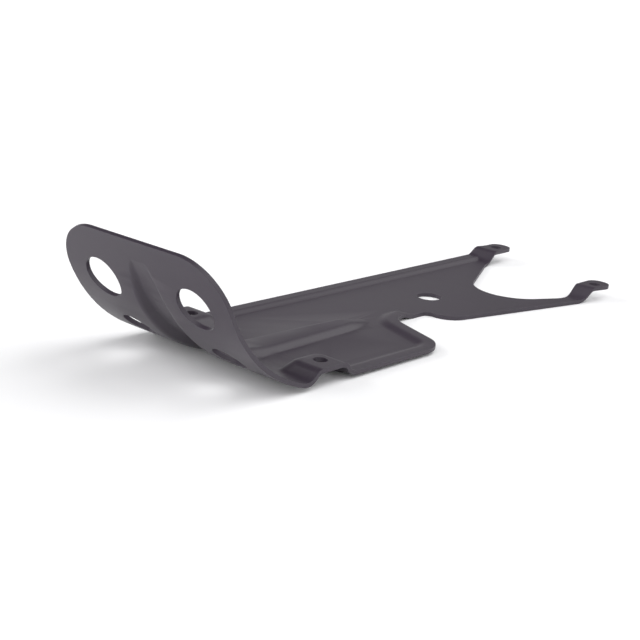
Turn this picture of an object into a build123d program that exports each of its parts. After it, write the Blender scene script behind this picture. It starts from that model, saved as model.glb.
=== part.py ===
from build123d import *
from math import cos, radians, sin, tan
import os

# Motorcycle skid plate: one sheet, pressed and then trimmed.
# Millimetres and degrees. X runs forward from the front bolt line, Y to the left, Z up from the
# upper face of the floor, until the finished plate is set on the ground.

# Sheet
sheet = 3.0
half_width = 73.5

# Nose: a bend, then a flat, measured on the inner face
bend_start = 0.9
bend_radius = 102.0
nose_angle = 67.0
nose_flat = 29.2
nose_corner = 34.0

# Round holes through the nose, placed down the face from its top edge
upper_hole = 30.0
upper_hole_side = 41.7
upper_hole_drop = 37.4
lower_hole = 24.0
lower_hole_side = 41.5
lower_hole_drop = 84.1

# Centre rib: a ridge inside and a groove outside, widest on the bend
rib_height = 4.0
rib_slope = 42.0
rib_round = 7.5
rib_foot_round = 3.8
rib_rear_flat = 3.4
rib_bend_flat = 10.5
rib_nose_flat = 7.5
rib_end = -95.0
rib_fall = 10.5
rib_fall_round = 60.0
rib_turn_radius = 120.0
rib_nose_drop = 14.0
rib_nose_fall = 9.0

# Raised margin along the floor's edges
margin_height = 2.5
margin_flat = 8.4
margin_slope = 26.6
margin_end = -158.0
margin_fall = 14.0
margin_round_over = 9.0
margin_round_in = 10.0

# Front mounting pads
front_bolt_side = 60.0
front_bolt_hole = 9.6
pad_height = 10.0
pad_front = 14.5
pad_front_slope = 42.0
pad_rear = -11.8
pad_rear_slope = 55.0
pad_inner = 47.6
pad_inner_slope = 50.0
pad_corner = 13.0
pad_round_over = 9.0
pad_round_in = 8.0

# Rear tabs, raised on a joggle
tab_height = 9.0
tab_slope = 45.0
tab_round_over = 6.0
tab_round_in = 10.0
tab_half_width = 9.5
tab_tip = 13.0
near_tab_outer = 11.2
tab_tip_corner = 8.0
tab_bolt_hole = 9.0
near_bolt = (-329.5, 58.2)
near_joggle = -307.5
near_joggle_turn = 12.7
far_bolt = (-359.5, -60.0)
far_joggle = -337.5
far_joggle_turn = 0.0

# Outline behind the nose
wing_end = -111.3
wing_slant = 18.6
wing_corner = 22.0
notch_side = 10.5
notch_rear = -174.0
notch_front_corner = 20.0
notch_rear_corner = 5.0
arm_slant = 12.7
arm_shoulder = 18.0
far_neck_blend = 15.0
far_neck_front = -341.0
far_neck_rear = -357.0

# Cut between the rear arms
cut_centre = (-292.0, 8.0)
cut_radius = 33.5
cut_flare = 27.0
cut_blend = 20.0

# Drain-access hole
drain_hole = 19.3
drain_centre = (-207.7, -14.0)

# Blank around the finished outline, and how far forms and cutters run on inside it
blank = 8.0
buried = 12.0
overlap = 2.5


def run(rise, slope):
    """Level distance in which a slope climbs a rise."""
    return rise / tan(radians(slope))


def inset(gap, slope):
    """Shift of a slope's corners on a face that lies a gap below the upper one."""
    return gap * tan(radians(slope / 2))


def nose_frame(drop):
    """Plane on the nose's inner face, a drop below its top edge: Y up the face, Z outward."""
    turn = radians(nose_angle) - max(drop - nose_flat, 0.0) / bend_radius
    outward = Vector(sin(turn), 0, -cos(turn))
    upward = Vector(cos(turn), 0, sin(turn))
    centre = Vector(bend_start, 0, bend_radius)
    origin = centre + outward * bend_radius + upward * max(nose_flat - drop, 0.0)
    return Plane(origin=origin, x_dir=(0, 1, 0), z_dir=outward)


def floor_form(gap):
    """Block under the floor, the bend and the nose."""
    turn = radians(nose_angle)
    depth = 3 * buried
    radius = bend_radius + gap
    outward = Vector(sin(turn), -cos(turn))
    bend_end = Vector(bend_start, bend_radius) + outward * radius
    top = bend_end + Vector(cos(turn), sin(turn)) * (nose_flat + blank)
    front = top + outward * depth
    low = -gap - depth
    floor = Line((blank_rear, -gap), (bend_start, -gap))
    bend = TangentArc((bend_start, -gap), bend_end, tangent=(1, 0))
    rest = Polyline(bend_end, top, front, (front.X, low), (blank_rear, low), (blank_rear, -gap))
    profile = Plane.XZ * make_face([floor.edge(), bend.edge(), *rest.edges()])
    return extrude(profile, amount=half_width + blank, both=True)


def joggle_form(gap, bolt, joggle, turn, side):
    """Block under the raised rear of one arm, turned about its foot at the tab's inner edge."""
    level = tab_height - gap
    foot = inset(gap, tab_slope)
    crest = foot - run(tab_height, tab_slope)
    end = foot + tab_round_in + gap + overlap
    rear = bolt[0] - tab_tip - 2 * blank - joggle
    rise = FilletPolyline(
        (rear, level), (crest, level), (foot, -gap), (end, -gap),
        radius=[tab_round_over - gap, tab_round_in + gap],
    )
    low = -gap - buried
    rest = Polyline((end, -gap), (end, low), (rear, low), (rear, level))
    profile = Plane.XZ * make_face([*rise.edges(), *rest.edges()])
    block = extrude(profile, amount=half_width, both=True)
    return Pos(joggle, bolt[1] - side * tab_half_width, 0) * Rot(0, 0, turn) * block


def margin_profile(gap, frame):
    """Section of the raised margin: X inward from the sheet's edge, Y up from the floor."""
    crest = margin_flat - inset(gap, margin_slope)
    foot = crest + run(margin_height, margin_slope)
    end = foot + margin_flat
    rise = FilletPolyline(
        (-blank, margin_height), (crest, margin_height), (foot, 0), (end, 0),
        radius=[margin_round_over - gap, margin_round_in + gap],
    )
    rest = Polyline((end, 0), (end, -buried), (-blank, -buried), (-blank, margin_height))
    return frame * make_face([*rise.edges(), *rest.edges()])


def near_margin_form(gap):
    """Margin from the near pad round the wing and the notch, where it runs out on a ramp."""
    start = Vector(0, half_width, -gap)
    edge = FilletPolyline(
        start, (*wing_point, -gap), (*notch_point, -gap), (notch_rear, notch_side, -gap),
        radius=[wing_corner, notch_front_corner],
    )
    frame = Plane(origin=start, x_dir=(0, -1, 0), z_dir=(-1, 0, 0))
    margin = sweep(margin_profile(gap, frame), path=Wire(edge.edges()))
    ramp_foot = margin_end + inset(gap, margin_fall)
    top = margin_height + overlap
    ramp_top = ramp_foot + run(top, margin_fall)
    ramp = Polyline(
        (ramp_foot, -gap), (ramp_top, top - gap), (blank_rear, top - gap), (blank_rear, -gap), close=True
    )
    return margin - extrude(Plane.XZ * make_face(ramp.edges()), amount=half_width, both=True)


def far_margin_form(gap):
    """Straight margin from the far joggle to the far pad."""
    start = far_joggle - run(tab_height, tab_slope) / 2
    frame = Plane(origin=(start, -half_width, -gap), x_dir=(0, 1, 0), z_dir=(1, 0, 0))
    return extrude(margin_profile(gap, frame), amount=-start)


def pad_form(gap):
    """Drafted block under the left mounting pad, open past the sheet's edge."""
    level = pad_height - gap
    low = -gap - buried
    fall = level - low
    front = pad_front - inset(gap, pad_front_slope)
    rear = pad_rear + inset(gap, pad_rear_slope)
    inner = pad_inner + inset(gap, pad_inner_slope)
    outer = half_width + blank
    front_foot = front + run(fall, pad_front_slope)
    rear_foot = rear - run(fall, pad_rear_slope)
    inner_foot = inner - run(fall, pad_inner_slope)
    length = Polyline((rear_foot, low), (rear, level), (front, level), (front_foot, low), close=True)
    width = Polyline((inner_foot, low), (inner, level), (outer, level), (outer, low), close=True)
    along = extrude(Plane.XZ * make_face(length.edges()), amount=-outer)
    across = extrude(Plane.YZ * make_face(width.edges()), amount=blank_front, both=True)
    pad = along & across
    corners = pad.edges().filter_by_position(Axis.Z, low + overlap, level - overlap).sort_by(Axis.Y)[:2]
    pad = fillet(corners, pad_corner - gap)
    rim = pad.faces().sort_by(Axis.Z)[-1].edges().sort_by(Axis.Y)[:-1]
    return fillet(rim, pad_round_over - gap)


def rib_form(gap):
    """Tapering ridge along the floor and across the bend, sinking into the sheet at both ends."""
    level = rib_height - gap
    tail_run = run(rib_height + overlap, rib_fall)
    tail = (rib_end - tail_run, level - rib_height - overlap)
    turn = radians(nose_angle - rib_nose_fall)
    forward = Vector(cos(turn), sin(turn))
    outward = Vector(sin(turn), -cos(turn))
    nose_end = nose_frame(rib_nose_drop).origin
    nose_run = (nose_end.Z - rib_height - rib_turn_radius * (1 - cos(turn))) / sin(turn)
    turn_end = Vector(nose_end.X, nose_end.Z) - forward * nose_run
    turn_start = (turn_end.X - rib_turn_radius * sin(turn), level)
    turn_end += outward * gap
    floor = FilletPolyline(tail, (rib_end, level), turn_start, radius=[rib_fall_round])
    bend = TangentArc(turn_start, turn_end, tangent=(1, 0))
    nose = Line(turn_end, turn_end + forward * (nose_run + run(overlap, rib_nose_fall)))
    crest = Wire([Plane.XZ * edge for edge in [*floor.edges(), bend.edge(), nose.edge()]])

    def section(position, flat):
        half = flat - inset(gap, rib_slope)
        foot = half + run(buried, rib_slope)
        top = FilletPolyline(
            (-foot, -buried), (-half, 0), (half, 0), (foot, -buried), radius=rib_round - gap
        )
        base = Line((foot, -buried), (-foot, -buried))
        frame = Plane(crest.position_at(position), x_dir=(0, 1, 0), z_dir=crest.tangent_at(position))
        return frame * make_face([*top.edges(), base.edge()])

    bend_middle = (floor.length + bend.length / 2) / crest.length
    sections = [section(0, rib_rear_flat), section(bend_middle, rib_bend_flat), section(1, rib_nose_flat)]
    return sweep(sections, path=crest, multisection=True)


def pressed_form(gap):
    """Solid under the pressed face that lies a gap below the sheet's upper face."""
    floor = floor_form(gap)
    rib = rib_form(gap)
    form = floor + rib
    form = fillet(new_edges(floor, rib, combined=form), rib_foot_round + gap)
    form += joggle_form(gap, near_bolt, near_joggle, near_joggle_turn, 1)
    form += joggle_form(gap, far_bolt, far_joggle, far_joggle_turn, -1)
    form += near_margin_form(gap) + far_margin_form(gap)
    left_pad = pad_form(gap)
    right_pad = mirror(left_pad, Plane.XZ)
    padded = form + left_pad + right_pad
    return fillet(new_edges(form, left_pad, right_pad, combined=padded), pad_round_in + gap)


def outline():
    """Trimmed outline in plan, nose to tabs, with the cut between the arms."""
    near_in = near_bolt[1] - tab_half_width
    far_out = far_bolt[1] - tab_half_width
    far_in = far_bolt[1] + tab_half_width
    near_tip = near_bolt[0] - tab_tip
    far_tip = far_bolt[0] - tab_tip
    near_out = near_bolt[1] + near_tab_outer
    arm_side = near_out - (notch_rear - near_tip) * tan(radians(arm_slant))
    apex = cut_centre[0] + cut_radius / sin(radians(cut_flare))
    near_knee = apex - run(near_in - cut_centre[1], cut_flare)
    far_knee = apex - run(cut_centre[1] - far_in, cut_flare)
    corners = [
        ((blank_front, half_width), 0),
        (wing_point, wing_corner),
        (notch_point, notch_front_corner),
        ((notch_rear, notch_side), notch_rear_corner),
        ((notch_rear, arm_side), arm_shoulder),
        ((near_tip, near_out), tab_tip_corner),
        ((near_tip, near_in), tab_tip_corner),
        ((near_knee, near_in), cut_blend),
        ((apex, cut_centre[1]), cut_radius),
        ((far_knee, far_in), cut_blend),
        ((far_tip, far_in), tab_tip_corner),
        ((far_tip, far_out), tab_tip_corner),
        ((far_neck_rear, far_out), far_neck_blend),
        ((far_neck_front, -half_width), far_neck_blend),
        ((blank_front, -half_width), 0),
    ]
    points = [point for point, radius in corners]
    radii = [radius for point, radius in corners]
    return make_face(FilletPolyline(*points, radius=radii, close=True).edges())


def nose_waste():
    """What is trimmed off above the nose and round its two corners."""
    blank_half = half_width + blank
    low = -nose_corner - overlap
    keep = FilletPolyline(
        (-half_width, low), (-half_width, 0), (half_width, 0), (half_width, low), radius=nose_corner
    )
    around = Polyline(
        (half_width, low), (blank_half, low), (blank_half, 2 * blank),
        (-blank_half, 2 * blank), (-blank_half, low), (-half_width, low),
    )
    waste = make_face([*keep.edges(), *around.edges()])
    return extrude(nose_frame(0) * waste, amount=buried, both=True)


def nose_openings():
    """Two pairs of round holes through the nose, square to the face where they lie."""
    openings = []
    for side in (1, -1):
        upper = nose_frame(upper_hole_drop) * Pos(side * upper_hole_side, 0) * Circle(upper_hole / 2)
        lower = nose_frame(lower_hole_drop) * Pos(side * lower_hole_side, 0) * Circle(lower_hole / 2)
        openings.append(extrude(upper, amount=buried, both=True))
        openings.append(extrude(lower, amount=buried, both=True))
    return openings


def floor_openings():
    """Upright holes for the four mounting bolts and the drain plug."""
    holes = [
        ((0, front_bolt_side), front_bolt_hole),
        ((0, -front_bolt_side), front_bolt_hole),
        (near_bolt, tab_bolt_hole),
        (far_bolt, tab_bolt_hole),
        (drain_centre, drain_hole),
    ]
    depth = pad_height + tab_height + buried
    return [extrude(Pos(*centre) * Circle(width / 2), amount=depth, both=True) for centre, width in holes]


nose_top = nose_frame(0).origin
blank_front = nose_top.X + sheet + blank
blank_rear = far_bolt[0] - tab_tip - blank
wing_point = (wing_end, half_width)
notch_point = (wing_end - (half_width - notch_side) * tan(radians(wing_slant)), notch_side)

pressing = pressed_form(0) - pressed_form(sheet)
plate = pressing & extrude(outline(), amount=nose_top.Z + blank, both=True)
plate = plate - nose_waste() - nose_openings() - floor_openings()

# Set the underside on the ground, with the origin under the middle of the plate
extent = plate.bounding_box()
plate = Pos(-extent.center().X, -extent.center().Y, -extent.min.Z) * plate

os.makedirs("parts", exist_ok=True)
export_step(plate, "parts/skid_plate.step")
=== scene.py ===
import math

import bmesh
import bpy
from mathutils import Matrix, Vector
from mathutils.bvhtree import BVHTree
from mathutils.geometry import barycentric_transform


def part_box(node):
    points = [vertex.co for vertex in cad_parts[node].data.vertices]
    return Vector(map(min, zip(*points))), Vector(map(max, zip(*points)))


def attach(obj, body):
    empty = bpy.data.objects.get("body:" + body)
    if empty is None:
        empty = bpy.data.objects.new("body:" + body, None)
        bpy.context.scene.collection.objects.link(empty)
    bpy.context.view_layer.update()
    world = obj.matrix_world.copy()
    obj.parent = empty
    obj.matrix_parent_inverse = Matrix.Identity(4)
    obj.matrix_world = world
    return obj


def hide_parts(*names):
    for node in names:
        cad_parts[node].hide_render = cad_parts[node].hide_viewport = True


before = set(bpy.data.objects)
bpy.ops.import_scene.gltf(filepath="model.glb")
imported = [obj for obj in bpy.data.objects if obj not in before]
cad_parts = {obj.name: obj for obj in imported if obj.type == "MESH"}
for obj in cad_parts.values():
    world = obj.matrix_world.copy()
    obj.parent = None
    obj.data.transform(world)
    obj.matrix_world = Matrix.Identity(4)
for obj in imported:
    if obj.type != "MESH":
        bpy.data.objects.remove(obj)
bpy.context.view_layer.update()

# Directions
UP = Vector((0, 0, 1))
DOWN = Vector((0, 0, -1))

# Camera, as fitted to the photograph: place in metres, angles in degrees, lens and sensor in millimetres
CAMERA_PLACE = (0.7715, 0.6131, 0.2947)
CAMERA_AZIMUTH = 41.0
CAMERA_ELEVATION = 16.82
CAMERA_ROLL = 4.61
CAMERA_LENS = 79.25
SENSOR_WIDTH = 36.0

# Rounding of the cut edges under the coat, in metres, where the sheet turns by more than an angle
EDGE_ROUND = 0.0005
EDGE_STEPS = 2
EDGE_PROFILE = 0.5
SHARP_EDGE = math.radians(40)

# Distances in metres within which two points are one, and within which a point lies on a pressed face
SAME_POINT = 1e-6
ON_FACE = 2e-5

# Right margin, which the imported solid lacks, in metres: sheet, height, distances from the edge, and blend
SHEET = 0.0030
MARGIN_HEIGHT = 0.0025
MARGIN_CREST = 0.0071
MARGIN_FOOT = 0.0147
MARGIN_BLEND = 0.0020

# Reach of the margin along X, and the stretches at its ends where it runs out into joggle and pad, in metres
MARGIN_REAR = -0.2100
MARGIN_FRONT = 0.1240
RUN_OUTS = ((MARGIN_REAR, -0.1960), (0.1060, MARGIN_FRONT))

# Divisions of the margin's slope and of each run-out, the step for reading slopes and a height above the part
SLOPE_CUTS = 12
RUN_OUT_CUTS = 12
SLOPE_STEP = 0.0002
ABOVE = 1.0

# Powder coat: base colour, and roughness with its spread either way
COAT_COLOUR = (0.0345, 0.0265, 0.0385)
COAT_ROUGHNESS = 0.45
ROUGHNESS_SPREAD = 0.06

# Noises in the coat: scale, detail and roughness
CLOUD = (26.0, 3.0, 0.5)
GRAIN = (2600.0, 2.0, 0.6)
PEEL = (620.0, 1.0, 0.4)

# Stops of the coat's tint: value of the noise, and share of the base colour
TINT_STOPS = ((0.30, 0.90), (0.70, 1.08))

# Share of the grain in the tint and in the relief, and the bump of the relief, with its depth in metres
GRAIN_IN_TINT = 0.45
GRAIN_IN_RELIEF = 0.35
BUMP_STRENGTH = 0.35
BUMP_DEPTH = 0.00006

# Floor: its reach each way in metres, and its look
FLOOR_REACH = 20.0
FLOOR_COLOUR = (0.93, 0.93, 0.94, 1)
FLOOR_ROUGHNESS = 0.9

# Studio lights: azimuth and elevation in degrees, strength, and angular size in degrees
LIGHTS = {
    "right_low": (307, 15, 2.1, 52),
    "front": (32, 40, 0.8, 50),
    "left_high": (148, 48, 1.0, 60),
}

# Studio tent: an even white
TENT_WHITE = 0.85

# Dark gaps in the tent: azimuth, elevation, inner and outer radius in degrees, and the share of white left
GAPS = {
    "right_high": (256, 49, 28, 41, 0.02),
    "rear_low": (201, 13, 6, 22, 0.15),
}


def new_nodes(name):
    """A material with an empty node tree, and its tree."""
    material = bpy.data.materials.new(name)
    material.use_nodes = True
    material.node_tree.nodes.clear()
    return material, material.node_tree


def add(tree, kind, **settings):
    """A node with some of its properties set."""
    node = tree.nodes.new(kind)
    for key, value in settings.items():
        setattr(node, key, value)
    return node


def powder_coat():
    """Satin charcoal powder coat: a fine orange peel, a sandy grain and a faint cloudiness."""
    material, tree = new_nodes("powder_coat_satin")
    link = tree.links.new
    output = add(tree, "ShaderNodeOutputMaterial")
    shader = add(tree, "ShaderNodeBsdfPrincipled")
    link(shader.outputs["BSDF"], output.inputs["Surface"])
    place = add(tree, "ShaderNodeTexCoord")

    def noise(scale, detail, roughness):
        """Value of a noise that is fixed to the part."""
        node = add(tree, "ShaderNodeTexNoise")
        node.inputs["Scale"].default_value = scale
        node.inputs["Detail"].default_value = detail
        node.inputs["Roughness"].default_value = roughness
        link(place.outputs["Object"], node.inputs["Vector"])
        return node.outputs["Fac"]

    cloud = noise(*CLOUD)
    grain = noise(*GRAIN)
    peel = noise(*PEEL)

    # Cloud and grain together vary the colour and the gloss
    speck = add(tree, "ShaderNodeMix", data_type="FLOAT")
    speck.inputs["Factor"].default_value = GRAIN_IN_TINT
    link(cloud, speck.inputs["A"])
    link(grain, speck.inputs["B"])
    tint = add(tree, "ShaderNodeValToRGB")
    for stop, (position, share) in zip(tint.color_ramp.elements, TINT_STOPS):
        stop.position = position
        stop.color = (*[share * channel for channel in COAT_COLOUR], 1)
    link(speck.outputs["Result"], tint.inputs["Fac"])
    link(tint.outputs["Color"], shader.inputs["Base Color"])
    gloss = add(tree, "ShaderNodeMapRange")
    gloss.inputs["To Min"].default_value = COAT_ROUGHNESS - ROUGHNESS_SPREAD
    gloss.inputs["To Max"].default_value = COAT_ROUGHNESS + ROUGHNESS_SPREAD
    link(speck.outputs["Result"], gloss.inputs["Value"])
    link(gloss.outputs["Result"], shader.inputs["Roughness"])

    # Peel and grain together make the relief
    relief = add(tree, "ShaderNodeMath", operation="MULTIPLY_ADD")
    relief.inputs[1].default_value = GRAIN_IN_RELIEF
    link(grain, relief.inputs[0])
    link(peel, relief.inputs[2])
    bump = add(tree, "ShaderNodeBump")
    bump.inputs["Strength"].default_value = BUMP_STRENGTH
    bump.inputs["Distance"].default_value = BUMP_DEPTH
    link(relief.outputs["Value"], bump.inputs["Height"])
    link(bump.outputs["Normal"], shader.inputs["Normal"])
    return material


def surface(mesh):
    """Two look-ups on the solid: distance and normal of the nearest face, and height of the pressed form."""
    mesh.calc_loop_triangles()
    corners = [vertex.co for vertex in mesh.vertices]
    triangles = list(mesh.loop_triangles)
    tree = BVHTree.FromPolygons(corners, [tuple(triangle.vertices) for triangle in triangles])
    normals = [Vector(corner.vector) for corner in mesh.corner_normals]

    def nearest(point):
        """Distance to the nearest face, and the smooth normal there."""
        spot, _, index, distance = tree.find_nearest(point)
        triangle = triangles[index]
        ends = [corners[vertex] for vertex in triangle.vertices]
        normal = barycentric_transform(spot, *ends, *[normals[loop] for loop in triangle.loops])
        return distance, normal.normalized()

    def height(x, y):
        """How far the upper face lies above that of the flat floor, or nothing where there is no face."""
        spot, _, _, _ = tree.ray_cast(Vector((x, y, ABOVE)), DOWN)
        return 0.0 if spot is None else spot.z - SHEET

    return nearest, height


def margin_lift(edge, height):
    """A look-up of how far the sheet is raised for the right margin, which runs out into pad and joggle."""

    def lift(x, y):
        """Rise of the sheet at a place."""
        from_edge = y - edge
        if from_edge > MARGIN_FOOT or not MARGIN_REAR < x < MARGIN_FRONT:
            return 0.0
        share = min(max((MARGIN_FOOT - from_edge) / (MARGIN_FOOT - MARGIN_CREST), 0.0), 1.0)
        share = share * share * (3 - 2 * share)
        margin = MARGIN_HEIGHT * share
        pressed = height(x, max(y, edge + EDGE_ROUND))
        # The higher of the margin and the pressed form, with a soft change between them
        blend = MARGIN_BLEND * share
        over = max(blend - abs(pressed - margin), 0.0)
        soft = over * over / (4 * blend) if blend else 0.0
        return max(pressed, margin) + soft - pressed

    return lift


def cut(form, faces, place, across):
    """Divides some faces by a plane."""
    parts = list(faces)
    parts += list({edge for face in faces for edge in face.edges})
    parts += list({vertex for face in faces for vertex in face.verts})
    bmesh.ops.bisect_plane(form, geom=parts, dist=SAME_POINT, plane_co=place, plane_no=across)


def divide_margin(form, edge):
    """Divides the sheet where the right margin bends."""
    for step in range(SLOPE_CUTS + 1):
        y = edge + MARGIN_CREST + (MARGIN_FOOT - MARGIN_CREST) * step / SLOPE_CUTS
        cut(form, form.faces[:], (0, y, 0), (0, 1, 0))
    for rear, front in RUN_OUTS:
        for step in range(RUN_OUT_CUTS + 1):
            x = rear + (front - rear) * step / RUN_OUT_CUTS
            strip = [face for face in form.faces if face.calc_center_median().y < edge + MARGIN_FOOT]
            cut(form, strip, (x, 0, 0), (1, 0, 0))


def round_edges(form):
    """Rounds the cut edges of the sheet."""
    bmesh.ops.remove_doubles(form, verts=form.verts, dist=SAME_POINT)
    bmesh.ops.bevel(
        form,
        geom=[line for line in form.edges if line.calc_face_angle(0) > SHARP_EDGE],
        offset=EDGE_ROUND,
        offset_type="OFFSET",
        segments=EDGE_STEPS,
        profile=EDGE_PROFILE,
        affect="EDGES",
        clamp_overlap=True,
    )


def raise_margin(mesh, nearest, lift):
    """Raises the right margin, and gives the mesh the solid's normals, tilted where the margin slopes."""
    normals = []
    for vertex in mesh.vertices:
        x, y, _ = vertex.co
        distance, normal = nearest(vertex.co)
        if distance >= ON_FACE:
            normal = vertex.normal.copy()
        along = (lift(x + SLOPE_STEP, y) - lift(x - SLOPE_STEP, y)) / (2 * SLOPE_STEP)
        across = (lift(x, y + SLOPE_STEP) - lift(x, y - SLOPE_STEP)) / (2 * SLOPE_STEP)
        tilted = Vector((normal.x - normal.z * along, normal.y - normal.z * across, normal.z))
        normals.append(tilted.normalized())
    for vertex in mesh.vertices:
        vertex.co.z += lift(vertex.co.x, vertex.co.y)
    mesh.normals_split_custom_set_from_vertices(normals)


def dress_plate():
    """The pressed sheet with its cut edges rounded and its right margin, in place of the plain solid."""
    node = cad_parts["skid_plate"]
    nearest, height = surface(node.data)
    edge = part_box("skid_plate")[0][1]
    mesh = bpy.data.meshes.new("skid_plate_coated")
    form = bmesh.new()
    form.from_mesh(node.data)
    round_edges(form)
    divide_margin(form, edge)
    for face in form.faces:
        face.smooth = True
    form.to_mesh(mesh)
    form.free()
    mesh.materials.append(powder_coat())
    raise_margin(mesh, nearest, margin_lift(edge, height))

    piece = bpy.data.objects.new("skid_plate_coated", mesh)
    bpy.context.scene.collection.objects.link(piece)
    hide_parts("skid_plate")
    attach(piece, "root")


def make_floor():
    """Plain pale floor."""
    mesh = bpy.data.meshes.new("floor")
    side = FLOOR_REACH
    corners = [(-side, -side, 0), (side, -side, 0), (side, side, 0), (-side, side, 0)]
    mesh.from_pydata(corners, [], [(0, 1, 2, 3)])
    floor = bpy.data.objects.new("floor", mesh)
    bpy.context.scene.collection.objects.link(floor)
    material, tree = new_nodes("floor_pale")
    output = add(tree, "ShaderNodeOutputMaterial")
    shader = add(tree, "ShaderNodeBsdfPrincipled")
    shader.inputs["Base Color"].default_value = FLOOR_COLOUR
    shader.inputs["Roughness"].default_value = FLOOR_ROUGHNESS
    shader.inputs["Specular IOR Level"].default_value = 0.0
    tree.links.new(shader.outputs["BSDF"], output.inputs["Surface"])
    mesh.materials.append(material)


def direction(azimuth, elevation):
    """A unit vector from its azimuth and elevation in degrees."""
    turn = math.radians(azimuth)
    rise = math.radians(elevation)
    level = math.cos(rise)
    return Vector((level * math.cos(turn), level * math.sin(turn), math.sin(rise)))


def soft_light(name, azimuth, elevation, strength, spread):
    """A broad, distant studio light: its direction and angular size in degrees."""
    lamp = bpy.data.lights.new(name, "SUN")
    lamp.energy = strength
    lamp.angle = math.radians(spread)
    holder = bpy.data.objects.new(name, lamp)
    holder.rotation_euler = direction(azimuth, elevation).to_track_quat("Z", "Y").to_euler()
    bpy.context.scene.collection.objects.link(holder)


def light_studio():
    """Broad lights, and a white tent with dark gaps in it."""
    for name, settings in LIGHTS.items():
        soft_light(name, *settings)
    world = bpy.data.worlds.new("studio")
    world.use_nodes = True
    tree = world.node_tree
    link = tree.links.new
    place = add(tree, "ShaderNodeTexCoord")
    white = None
    for azimuth, elevation, inner, outer, share in GAPS.values():
        towards = add(tree, "ShaderNodeVectorMath", operation="DOT_PRODUCT")
        towards.inputs[1].default_value = direction(azimuth, elevation)
        link(place.outputs["Generated"], towards.inputs[0])
        shade = add(tree, "ShaderNodeMapRange", interpolation_type="SMOOTHSTEP")
        shade.inputs["From Min"].default_value = math.cos(math.radians(outer))
        shade.inputs["From Max"].default_value = math.cos(math.radians(inner))
        shade.inputs["To Min"].default_value = 1.0
        shade.inputs["To Max"].default_value = share
        link(towards.outputs["Value"], shade.inputs["Value"])
        shaded = add(tree, "ShaderNodeMath", operation="MULTIPLY")
        link(shade.outputs["Result"], shaded.inputs[0])
        if white is None:
            shaded.inputs[1].default_value = TENT_WHITE
        else:
            link(white, shaded.inputs[1])
        white = shaded.outputs["Value"]
    link(white, tree.nodes["Background"].inputs["Color"])
    bpy.context.scene.world = world


def place_camera():
    """Camera at the photograph's place, turned about its line of sight by the roll."""
    back = direction(CAMERA_AZIMUTH, CAMERA_ELEVATION)
    roll = math.radians(CAMERA_ROLL)
    level = UP.cross(back).normalized()
    upright = back.cross(level)
    right = level * math.cos(roll) + upright * math.sin(roll)
    up = upright * math.cos(roll) - level * math.sin(roll)
    data = bpy.data.cameras.new("camera")
    data.lens = CAMERA_LENS
    data.sensor_width = SENSOR_WIDTH
    camera = bpy.data.objects.new("camera", data)
    turn = Matrix((right, up, back)).transposed()
    camera.matrix_world = Matrix.Translation(CAMERA_PLACE) @ turn.to_4x4()
    bpy.context.scene.collection.objects.link(camera)
    bpy.context.scene.camera = camera


bpy.context.scene.view_settings.view_transform = "Standard"
dress_plate()
make_floor()
light_studio()
place_camera()
